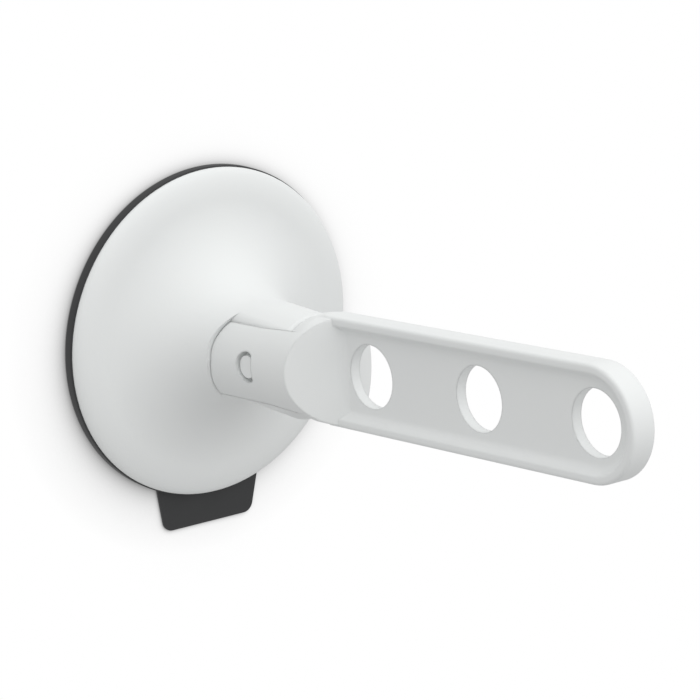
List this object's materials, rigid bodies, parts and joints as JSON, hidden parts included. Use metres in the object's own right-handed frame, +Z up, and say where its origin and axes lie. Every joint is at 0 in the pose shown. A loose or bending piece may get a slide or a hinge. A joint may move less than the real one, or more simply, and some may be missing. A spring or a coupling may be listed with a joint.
{
  "type": "suction cup hook",
  "caption": "Suction cup hook: a rubber pad under a flared round cover, with a folding perforated arm that holds clothes hangers out from a tiled wall.",
  "frame": {"origin": "centre of the suction pad's wall face", "axes": "+Y into the wall, so the arm reaches towards -Y; +Z up; +X to the right of someone facing the wall"},
  "size_m": [0.0908, 0.1693, 0.1],
  "materials": {
    "cover_plastic": "satin white",
    "pad_rubber": "matte dark grey",
    "stem_plastic": "natural",
    "shaft_plastic": "satin white",
    "arm_plastic": "satin white"
  },
  "bodies": {
    "base": {"shell": "cover_plastic", "suction_pad": "pad_rubber"},
    "arm": {"arm": "arm_plastic", "pivot_shaft": "shaft_plastic"},
    "stem": {"draw_stem": "stem_plastic"}
  },
  "joints": [
    {"name": "arm_lift", "type": "hinge", "parent": "base", "child": "arm", "pos_m": [0, -0.0365, 0], "axis": [-1, 0, 0], "range_deg": [0, 72]},
    {"name": "stem_draw", "type": "slide", "parent": "base", "child": "stem", "axis": [0, 1, 0], "range_m": [0, 0.00176], "deforming": ["suction_pad"]}
  ],
  "couplings": [
    {"joint": "stem_draw", "follows": "arm_lift", "m_per_rad": 0.0014032}
  ]
}
